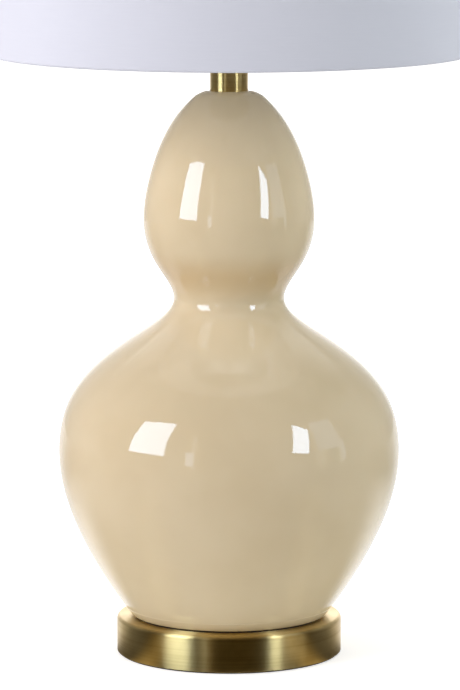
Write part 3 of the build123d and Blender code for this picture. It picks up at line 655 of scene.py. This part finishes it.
@dataclass
class GourdBody:
    """The hollow glazed body: two swellings with a waist between them."""

    shelf: FinishShelf
    side_mm: tuple[Point, ...] = (
        (82.6, 0.0),
        (122.4, 62.9),
        (143.7, 139.0),
        (138.0, 174.8),
        (76.5, 239.4),
        (46.4, 269.0),
        (61.7, 299.2),
        (71.9, 337.0),
        (67.9, 367.2),
        (28.1, 440.0),
    )
    each: int = 14
    foot_flare: float = 37.0
    crown_slope: float = 50.9
    shoulder: tuple[Point, ...] = ((0.3, 0.42), (0.6, 0.76), (0.85, 0.95))
    foot_round: float = 3.5 * MM
    foot_blend: tuple[float, ...] = (0.08, 0.2, 0.45, 0.7)
    foot_clear: float = 0.3 * MM
    foot_hole: float = 24.0 * MM
    wall: float = 6.0 * MM
    wall_slant: float = 1.15
    floor: float = 7.0 * MM
    floor_cove: float = 6.0 * MM
    seat_depth: float = 1.0 * MM
    seat_radius: float = 16.2 * MM
    crown_hole: float = 8.0 * MM
    hole_rim: float = 2.0 * MM
    lip_width: float = 1.2 * MM
    lip_round: float = 0.72 * MM
    lower_skip: int = 6
    upper_skip: int = 8
    facets: int = 200
    crisp: float = 40.0

    def profile(self, base: float) -> list[Point]:
        """The outer side from the foot to the shoulder.

        Args:
            base: the foot's height.

        Returns:
            (radius, height) points.
        """
        flare = math.radians(self.foot_flare)
        slope = math.radians(self.crown_slope)
        curve = SmoothOutline(
            tuple((radius * MM, base + height * MM) for radius, height in self.side_mm),
            (math.sin(flare), math.cos(flare)),
            (-math.sin(slope), math.cos(slope)),
        )
        return curve.drawn(self.each)

    def foot(self, side: list[Point], base: float) -> list[Point]:
        """The foot's rounded edge, and the side over it.

        Args:
            side: the outer side.
            base: the foot's height.

        Returns:
            (radius, height) points, going up.
        """
        corner = math.radians(90 + self.foot_flare) / 2
        centre = (side[0][0] - self.foot_round / math.tan(corner), base + self.foot_round)
        edge = arc(centre, self.foot_round, -90, -self.foot_flare, 7)
        outer = [point for point in side if point[1] > edge[-1][1] + self.foot_clear]
        (r0, h0), (r1, h1) = edge[-1], outer[0]
        blend = [(r0 + (r1 - r0) * share, h0 + (h1 - h0) * share) for share in self.foot_blend]
        return edge + blend + outer

    def crown(self, last: Point, top: float) -> list[Point]:
        """The shoulder, the crown's lip, the neck's seat and the hole through the crown.

        Args:
            last: the side's last point.
            top: the crown's height.

        Returns:
            (radius, height) points, going in and down.
        """
        radius, height = last
        inward, upward = self.seat_radius + self.lip_width - radius, top - height
        shoulder = [(radius + inward * share, height + upward * bend) for share, bend in self.shoulder]
        lip = arc((self.seat_radius + self.lip_round, top - self.lip_round), self.lip_round, 90, 180, 5)
        seat, ceiling = top - self.seat_depth, top - self.floor
        mouth = [(self.seat_radius, seat), (self.crown_hole, seat), (self.crown_hole, ceiling)]
        return shoulder + lip + mouth + [(self.crown_hole + self.hole_rim, ceiling)]

    def hollow(self, side: list[Point], base: float, top: float) -> list[Point]:
        """The hollow's side and floor, and the hole through the foot.

        Args:
            side: the outer side.
            base: the foot's height.
            top: the crown's height.

        Returns:
            (radius, height) points, going down.
        """
        least = self.crown_hole + self.hole_rim
        lowest, highest = base + self.floor + self.wall, top - self.floor - self.wall
        inside = [
            (max(radius - self.wall * self.wall_slant, least), height)
            for radius, height in reversed(side[self.lower_skip : -self.upper_skip])
            if lowest < height < highest
        ]
        floor = base + self.floor
        cove = inside[-1][0] - self.floor_cove
        return inside + [(cove, floor), (self.foot_hole, floor), (self.foot_hole, base)]

    def build(self) -> None:
        """Makes the body and dresses it."""
        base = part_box("gourd_lower")[0][2]
        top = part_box("gourd_upper")[1][2]
        side = self.profile(base)
        outline = self.foot(side, base) + self.crown(side[-1], top) + self.hollow(side, base, top)
        piece = spun_piece("glazed_gourd", outline, self.facets, self.crisp)
        self.shelf.dress(piece, "cream_glaze")
        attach(piece, "lamp")
        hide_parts("gourd_lower", "gourd_upper")
        LOG.info("glazed_gourd: %d faces", len(piece.data.polygons))


# ---- Brass plinth and neck ------------------------------------------------------------


@dataclass
class BrassPlinth:
    """The round plinth's drawn shell, with its rounded upper edge and a fine rolled foot."""

    shelf: FinishShelf
    wall: float = 1.5 * MM
    edge_round: float = 3.2 * MM
    foot_round: float = 0.45 * MM
    mid_share: float = 0.6
    pipe_hole: float = 5.15 * MM
    outlet_hole: float = 5.15 * MM
    drill_length: float = 30.0 * MM
    facets: int = 220
    crisp: float = 50.0

    def build(self) -> None:
        """Makes the shell and dresses it."""
        low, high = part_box("base_shell")
        radius, top, bottom = high[0], high[2], low[2]
        inner, under, middle = radius - self.wall, top - self.wall, radius * self.mid_share
        corner = (radius - self.edge_round, top - self.edge_round)
        outline = [
            (inner, bottom + self.foot_round),
            (inner + self.foot_round, bottom),
            *arc((radius - self.foot_round, bottom + self.foot_round), self.foot_round, -90, 0, 5),
            (radius, (bottom + top) / 2),
            *arc(corner, self.edge_round, 0, 90, 12),
            (middle, top),
            (self.pipe_hole, top),
            (self.pipe_hole, under),
            (middle, under),
            *arc(corner, self.edge_round - self.wall, 90, 0, 8),
        ]
        piece = spun_piece("plinth_shell", outline, self.facets, self.crisp)
        self._cut_outlet(piece)
        self.shelf.dress(piece, "aged_brass")
        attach(piece, "lamp")
        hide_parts("base_shell")
        LOG.info("plinth_shell: %d faces", len(piece.data.polygons))

    def _cut_outlet(self, piece: bpy.types.Object) -> None:
        """Cuts the cord outlet's hole through the shell's back.

        Args:
            piece: the shell.
        """
        centre = Vector([(a + b) / 2 for a, b in zip(*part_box("cord_bushing"))])
        drill = bmesh.new()
        bmesh.ops.create_cone(
            drill,
            cap_ends=True,
            segments=48,
            radius1=self.outlet_hole,
            radius2=self.outlet_hole,
            depth=self.drill_length,
        )
        turned = Matrix.Rotation(math.pi / 2, 3, "X")
        bmesh.ops.rotate(drill, verts=drill.verts, cent=(0, 0, 0), matrix=turned)
        bmesh.ops.translate(drill, verts=drill.verts, vec=centre)
        tool = finished("drill", drill, 30.0)
        cut = piece.modifiers.new("outlet", "BOOLEAN")
        cut.object = tool
        cut.operation = "DIFFERENCE"
        cut.solver = "EXACT"
        shown = piece.evaluated_get(bpy.context.evaluated_depsgraph_get())
        with_hole = bpy.data.meshes.new_from_object(shown)
        piece.modifiers.clear()
        piece.data = with_hole
        bpy.data.objects.remove(tool)


@dataclass
class BrassNeck:
    """The neck tube."""

    shelf: FinishShelf
    wall: float = 1.2 * MM
    edge_round: float = 0.3 * MM
    facets: int = 128
    crisp: float = 50.0

    def build(self) -> None:
        """Makes the tube and dresses it."""
        low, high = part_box("neck_tube")
        radius, bottom, top = high[0], low[2], high[2]
        outline = [
            (radius - self.wall, bottom),
            *arc((radius - self.edge_round, bottom + self.edge_round), self.edge_round, -90, 0, 4),
            *arc((radius - self.edge_round, top - self.edge_round), self.edge_round, 0, 90, 4),
            (radius - self.wall, top),
        ]
        piece = spun_piece("neck_sleeve", outline, self.facets, self.crisp)
        self.shelf.dress(piece, "aged_brass")
        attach(piece, "lamp")
        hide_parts("neck_tube")
        LOG.info("neck_sleeve: %d faces", len(piece.data.polygons))


# ---- Shade ----------------------------------------------------------------------------


@dataclass
class DrumShade:
    """The shade's cloth cover with its rolled hems."""

    shelf: FinishShelf
    bottom_radius: float = 203.2 * MM
    top_radius: float = 190.5 * MM
    middle_radius: float = 196.9 * MM
    cloth: float = 0.6 * MM
    wire_radius: float = 1.5 * MM
    ring_gap: float = 0.3 * MM
    hem: float = 9.0 * MM
    hem_start: float = 3.4 * MM
    hem_gap: float = 0.6 * MM
    hem_rows: tuple[float, ...] = (1.0, 0.66, 0.33, 0.0)
    tuck: Point = (0.86, 0.75)
    facets: int = 240
    rows: int = 48
    crisp: float = 60.0

    def section(self, bottom: Point, top: Point) -> list[Point]:
        """The cover's middle line from the lower hem's inner edge over the outside to the upper hem's.

        Args:
            bottom: (radius, height) of the outer face at the lower rim.
            top: (radius, height) of the outer face at the upper rim.

        Returns:
            (radius, height) points.
        """
        slant = math.dist(bottom, top)
        up = ((top[0] - bottom[0]) / slant, (top[1] - bottom[1]) / slant)
        out = (up[1], -up[0])
        inset = self.cloth + self.ring_gap + self.wire_radius
        wrap = self.wire_radius + self.ring_gap + self.cloth / 2
        behind = -1.5 * self.cloth - self.hem_gap

        def at(x: float, y: float) -> Point:
            """The place that is so far outward of the outer face and so far up it."""
            return bottom[0] + out[0] * x + up[0] * y, bottom[1] + out[1] * x + up[1] * y

        lower = [(behind, inset + self.hem_start + self.hem * share) for share in self.hem_rows]
        lower.append((-inset - wrap * self.tuck[0], inset + wrap * self.tuck[1]))
        lower += arc((-inset, inset), wrap, 150, 360, 20)
        rise = slant - 2 * inset
        side = [(-self.cloth / 2, inset + rise * i / self.rows) for i in range(1, self.rows)]
        upper = [(x, slant - y) for x, y in reversed(lower)]
        return [at(x, y) for x, y in lower + side + upper]

    def build(self) -> None:
        """Makes the cover and dresses it."""
        low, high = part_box("shade_fabric")
        line = self.section((self.bottom_radius, low[2]), (self.top_radius, high[2]))
        shape = swept(line, self.facets)
        bmesh.ops.recalc_face_normals(shape, faces=shape.faces)
        self._map_cloth(shape)
        piece = finished("shade_cover", shape, self.crisp)
        body = piece.modifiers.new("cloth", "SOLIDIFY")
        body.thickness = self.cloth
        body.offset = 0.0
        self.shelf.dress(piece, "white_fabric")
        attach(piece, "shade")
        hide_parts("shade_fabric")

    def _map_cloth(self, shape: bmesh.types.BMesh) -> None:
        """Gives the cloth a map in metres: round the shade and up it.

        Args:
            shape: the cover.
        """
        layer = shape.loops.layers.uv.new("cloth")
        for face in shape.faces:
            middle = face.calc_center_median()
            turn = math.atan2(middle.y, middle.x)
            for loop in face.loops:
                here = loop.vert.co
                angle = math.atan2(here.y, here.x)
                if angle - turn > math.pi:
                    angle -= 2 * math.pi
                if turn - angle > math.pi:
                    angle += 2 * math.pi
                loop[layer].uv = (angle * self.middle_radius, here.z)


# ---- Studio ---------------------------------------------------------------------------


class Ray(Enum):
    """The kinds of ray that a stage piece can be kept out of, by the switch for each."""

    CAMERA = "visible_camera"
    DIFFUSE = "visible_diffuse"
    GLOSSY = "visible_glossy"
    TRANSMISSION = "visible_transmission"
    VOLUME = "visible_volume_scatter"
    SHADOW = "visible_shadow"


ALL_BUT_GLOSS = tuple(ray for ray in Ray if ray is not Ray.GLOSSY)


def hide_from(piece: bpy.types.Object, rays: Sequence[Ray]) -> None:
    """Keeps a stage piece out of some kinds of ray."""
    for ray in rays:
        setattr(piece, ray.value, False)


def round_the_lamp(bearing: float, away: float, height: float) -> Vector:
    """A place by its bearing from the camera, in degrees to the right, its distance and its height."""
    turn = math.radians(bearing)
    return Vector((away * math.sin(turn), -away * math.cos(turn), height))


def area_light(name: str, width: float, depth: float, glow: float, tint: Colour) -> bpy.types.Object:
    """An even rectangular light.

    Args:
        name: what it is called.
        width: its size along its X axis, in metres.
        depth: its size along its Y axis, in metres.
        glow: how bright its face is.
        tint: its colour.

    Returns:
        The light, at the origin.
    """
    data = bpy.data.lights.new(name, "AREA")
    data.shape = "RECTANGLE"
    data.size = width
    data.size_y = depth
    data.energy = glow * math.pi * width * depth
    data.color = tint
    light = bpy.data.objects.new(name, data)
    bpy.context.scene.collection.objects.link(light)
    return light


@dataclass(frozen=True)
class FillPanel:
    """A broad light that falls on the lamp and that gloss doesn't show."""

    name: str
    bearing: float
    bottom: float
    top: float
    glow: float
    width: float = 1.6
    away: float = 2.2
    aim: float = 0.35
    tint: Colour = WHITE

    def build(self) -> None:
        """Hangs the panel, facing the lamp."""
        light = area_light(self.name, self.width, self.top - self.bottom, self.glow, self.tint)
        light.location = round_the_lamp(self.bearing, self.away, (self.bottom + self.top) / 2)
        heading = Vector((0, 0, self.aim)) - light.location
        light.rotation_euler = heading.to_track_quat("-Z", "Y").to_euler()
        hide_from(light, (Ray.GLOSSY,))


@dataclass(frozen=True)
class FloorPanel:
    """What a bright stretch of the floor throws up at the lamp."""

    name: str
    right: float
    back: float
    width: float
    depth: float
    glow: float
    over_floor: float = 4.0 * MM
    tint: Colour = (0.97, 1.0, 0.93)

    def build(self) -> None:
        """Lays the panel just over the floor, facing up."""
        light = area_light(self.name, self.width, self.depth, self.glow, self.tint)
        light.location = (self.right, self.back, self.over_floor)
        light.rotation_euler = (math.pi, 0.0, 0.0)
        hide_from(light, (Ray.CAMERA, Ray.GLOSSY))


@dataclass(frozen=True)
class GlowCard:
    """A soft box's bright face, which only gloss shows; its lower and upper edge may differ a little."""

    name: str
    bearings: tuple[float, float, float, float]
    heights: tuple[float, float, float, float]
    glow: float
    away: float = 1.6
    tint: Colour = (0.66, 0.8, 1.0)

    def build(self) -> None:
        """Hangs the card: lower left, lower right, upper right and upper left corner."""
        shape = bmesh.new()
        corners = [
            shape.verts.new(round_the_lamp(bearing, self.away, height))
            for bearing, height in zip(self.bearings, self.heights)
        ]
        bmesh.ops.contextual_create(shape, geom=corners)
        card = finished(self.name, shape, 30.0)
        finish = Finish(self.name)
        finish.glow(self.tint, self.glow)
        card.data.materials.append(finish.material)
        hide_from(card, ALL_BUT_GLOSS)


@dataclass(frozen=True)
class Rise:
    """A change of the surround's light between two bearings, which lasts beyond the second."""

    start: float
    end: float
    glow: float

    def level(self, degrees: Sockets) -> Sockets:
        """The change at a bearing."""
        return self.glow * degrees.step(self.start, self.end)


@dataclass(frozen=True)
class Band:
    """A pale stretch of the surround's card, by bearing in degrees."""

    start: float
    end: float
    glow: float
    soft: float = 3.0

    def level(self, degrees: Sockets) -> Sockets:
        """The band's light at a bearing.

        Args:
            degrees: the bearing.

        Returns:
            Its light there.
        """
        rise = degrees.step(self.start - self.soft, self.start + self.soft)
        fall = degrees.step(self.end - self.soft, self.end + self.soft)
        return self.glow * (rise - fall)


def levels(parts: Sequence[Rise | Band], degrees: Sockets) -> Sockets:
    """The light that several rises or bands give together at a bearing."""
    first, *others = (part.level(degrees) for part in parts)
    return sum(others, first)


@dataclass(frozen=True)
class Surround:
    """A bowl of card round the lamp, dark in front and pale behind, that only reflections show."""

    radius: float = 3.0
    height: float = 1.8
    roof_rise: float = 0.5
    lip: float = 95.5 * MM
    over_floor: float = 1.0 * MM
    floor_rings: tuple[float, ...] = (0.3, 1.2)
    facets: int = 96
    near: float = 0.25
    far: float = 0.85
    floor_fade: Span = (2.99, 2.9)
    roof_fade: float = 0.2
    dark: float = 0.04
    dark_tint: Colour = (1.0, 0.75, 0.3)
    neutral_levels: Span = (0.3, 1.2)
    neutral_bearings: Span = (75.0, 100.0)
    roof: float = 0.32
    wall_rises: tuple[Rise, ...] = (Rise(80, 105, 0.2), Rise(138, 150, 0.25), Rise(150, 180, 1.5))
    wall_bands: tuple[Band, ...] = (
        Band(-30, -18, 0.4),
        Band(-25, -22, 0.7, 1.0),
        Band(58, 68, 0.8),
        Band(78, 81, 1.1, 1.0),
    )
    far_floor: tuple[Rise, ...] = (Rise(120, 155, 0.95),)
    near_floor: tuple[Rise | Band, ...] = (
        Rise(88, 122, 1.15),
        Rise(140, 172, -0.5),
        Band(42, 58, 0.5, 8.0),
    )

    def build(self) -> None:
        """Makes the bowl and its card."""
        outline = [(reach, self.over_floor) for reach in (self.lip, *self.floor_rings, self.radius)]
        dome = arc((0.0, 0.0), self.radius, 0, 90, 10)
        outline += [(reach, self.height + rise * self.roof_rise) for reach, rise in dome]
        shape = swept(outline, self.facets)
        bmesh.ops.recalc_face_normals(shape, faces=shape.faces)
        bowl = finished("surround", shape, 30.0)
        finish = Finish("surround_card")
        x, y, z = finish.parts(finish.place())
        degrees = x.turn_from(0.0 - y) * (180 / math.pi)
        level = self._level(degrees, (x * x + y * y) ** 0.5, z) + self.dark
        neutral = level.step(*self.neutral_levels) + degrees.size().step(*self.neutral_bearings)
        tint = finish.blend(neutral.clamped(), self.dark_tint, WHITE)
        finish.glow(finish.node("VectorMath", {"operation": "SCALE"}, Vector=tint, Scale=level))
        finish.material.cycles.emission_sampling = "NONE"
        bowl.data.materials.append(finish.material)
        hide_from(bowl, ALL_BUT_GLOSS)

    def _level(self, degrees: Sockets, reach: Sockets, height: Sockets) -> Sockets:
        """How bright the card is: by bearing on the floor and the wall, even overhead.

        Args:
            degrees: the bearing.
            reach: the distance from the lamp's axis.
            height: the height.

        Returns:
            The level.
        """
        behind = degrees.size()
        wall = levels(self.wall_rises, behind) + levels(self.wall_bands, degrees)
        far = levels(self.far_floor, behind)
        near = levels(self.near_floor, behind)
        floor = far + reach.step(self.far, self.near) * (near - far)
        overhead = height.step(self.height - self.roof_fade, self.height + self.roof_fade)
        beside = wall + overhead * (self.roof - wall)
        return beside + reach.step(*self.floor_fade) * (floor - beside)


@dataclass
class Studio:
    """The photograph's camera, the floor, the lights, and the surround that the gloss shows."""

    camera_back: float = 3.570
    camera_height: float = 0.784
    camera_right: float = 0.0008
    camera_dip: float = 8.32
    focal_pixels: float = 4284.0
    frame_height: int = 690
    sensor: float = 36.0
    daylight: float = 0.30
    floor_half: float = 20.0
    floor_gap: float = 0.3 * MM
    floor_white: float = 0.5
    floor_fade: Span = (0.25, 1.0)
    floor_clear: Span = (91.0 * MM, 90.0 * MM)
    panels: tuple[FillPanel, ...] = (
        FillPanel("left_panel", -51.0, 0.5, 1.75, 6.2, 1.0, tint=PINKISH),
        FillPanel("right_panel", 52.6, 0.5, 1.75, 5.6, 0.36, 2.37, tint=BLUISH),
        FillPanel("right_high", 100.0, 0.9, 1.9, 3.5, tint=BLUISH),
        FillPanel("left_high", -100.0, 0.9, 1.9, 4.0, tint=PINKISH),
        FillPanel("front_high", 0.0, 1.1, 2.1, 0.8),
        FillPanel("right_back_low", 140.0, 0.02, 0.7, 0.7),
        FillPanel("right_back_high", 140.0, 0.9, 1.9, 1.3),
        FillPanel("left_back_low", -140.0, 0.02, 0.7, 0.5),
        FillPanel("back", 180.0, 0.3, 1.7, 0.6),
    )
    cards: tuple[GlowCard, ...] = (
        GlowCard("left_card", (-68.5, -42.8, -40.8, -65.8), (0.34, 0.34, 1.38, 1.2), 11.5),
        GlowCard("right_card", (41.5, 53.0, 57.5, 48.0), (0.42, 0.36, 1.0, 1.25), 13.5),
        GlowCard("side_card", (60.0, 77.0, 79.0, 60.5), (0.38, 0.36, 1.1, 1.2), 1.4),
        GlowCard("thin_card", (-28.0, -23.0, -23.0, -28.0), (0.16, 0.16, 0.47, 0.47), 3.2),
        GlowCard("edge_card", (78.5, 81.5, 81.5, 78.5), (0.12, 0.12, 0.5, 0.5), 1.5),
    )
    floor_panels: tuple[FloorPanel, ...] = (
        FloorPanel("floor_behind", 0.0, 1.1, 1.0, 1.2, 2.06),
        FloorPanel("floor_left", -0.14, 0.0, 0.07, 0.26, 0.75),
        FloorPanel("floor_right", 0.14, 0.0, 0.07, 0.26, 0.7),
        FloorPanel("floor_front", 0.0, -0.14, 0.2, 0.07, 0.3),
    )

    def build(self) -> None:
        """Sets the studio up."""
        self._camera()
        self._floor()
        Surround().build()
        for light in (*self.panels, *self.floor_panels, *self.cards):
            light.build()
        self._world()
        bpy.context.scene.view_settings.view_transform = "Standard"
        LOG.info("studio ready: %d panels and %d cards", len(self.panels), len(self.cards))

    def _camera(self) -> None:
        """The camera, solved from the plinth's and the rim's ellipses."""
        data = bpy.data.cameras.new("camera")
        data.sensor_width = self.sensor
        data.sensor_fit = "AUTO"
        data.lens = self.focal_pixels / self.frame_height * self.sensor
        camera = bpy.data.objects.new("camera", data)
        camera.location = (self.camera_right, -self.camera_back, self.camera_height)
        camera.rotation_euler = (math.radians(90 - self.camera_dip), 0, 0)
        bpy.context.scene.collection.objects.link(camera)
        bpy.context.scene.camera = camera

    def _floor(self) -> None:
        """A floor, white but for the lamp's shadow, and clear from below and under the lamp."""
        shape = bmesh.new()
        bmesh.ops.create_grid(shape, x_segments=1, y_segments=1, size=self.floor_half)
        bmesh.ops.translate(shape, verts=shape.verts, vec=(0.0, 0.0, -self.floor_gap))
        floor = finished("floor", shape, 30.0)
        finish = Finish("floor_paper")
        x, y, _ = finish.parts(finish.place())
        reach = (x * x + y * y) ** 0.5
        seen = finish.node("LightPath", output="Is Camera Ray")
        lift = seen * (self.floor_white + (1.0 - self.floor_white) * reach.step(*self.floor_fade))
        finish.set(Base_Color=(0.8, 0.8, 0.8), Roughness=0.9, Specular_IOR_Level=0.1)
        finish.set(Emission_Color=lift, Emission_Strength=1.0)
        from_below = finish.node("NewGeometry", output="Backfacing")
        clear = (from_below + reach.step(*self.floor_clear)).clamped()
        paper = Sockets(finish.tree, finish.shader.outputs[0])
        nothing = finish.node("BsdfTransparent")
        mixed = finish.tree.nodes.new("ShaderNodeMixShader")
        for socket, source in zip(mixed.inputs, (clear, paper, nothing)):
            finish.tree.links.new(source.output, socket)
        surface = next(n for n in finish.tree.nodes if n.type == "OUTPUT_MATERIAL").inputs["Surface"]
        finish.tree.links.new(mixed.outputs[0], surface)
        floor.data.materials.append(finish.material)

    def _world(self) -> None:
        """A pale surround: white to the camera, to gloss and through glass, softer as a light."""
        world = bpy.data.worlds.new("surround")
        bpy.context.scene.world = world
        world.use_nodes = True
        tree = world.node_tree
        background = next(n for n in tree.nodes if n.type == "BACKGROUND")
        paths = tree.nodes.new("ShaderNodeLightPath")
        first, *others = (Sockets(tree, paths.outputs[name]) for name in SEEN_RAYS)
        seen = sum(others, first).clamped()
        strength = seen * (1.0 - self.daylight) + self.daylight
        tree.links.new(strength.output, background.inputs["Strength"])
        background.inputs["Color"].default_value = (*WHITE, 1.0)


# ---- The carried-over pieces ----------------------------------------------------------


@dataclass
class CarriedPieces:
    """The CAD nodes: each gets the finish that the record names, and most keep their shapes."""

    shelf: FinishShelf
    frame: dict

    def build(self) -> None:
        """Dresses every node."""
        slots = {part["node"]: part["material_slot"] for part in self.frame["record"]["subparts"]}
        for node, piece in self.frame["nodes"].items():
            self.shelf.dress(piece, slots[node])
        LOG.info("%d nodes dressed", len(self.frame["nodes"]))


def main() -> None:
    """Builds the lamp and its studio."""
    logging.basicConfig(level=logging.INFO, format="%(name)s: %(message)s", stream=sys.stdout)
    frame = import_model()
    shelf = FinishShelf()
    shelf.stock()
    CarriedPieces(shelf, frame).build()
    GourdBody(shelf).build()
    BrassPlinth(shelf).build()
    BrassNeck(shelf).build()
    DrumShade(shelf).build()
    Studio().build()
    bpy.context.view_layer.update()


if __name__ == "__main__":
    main()
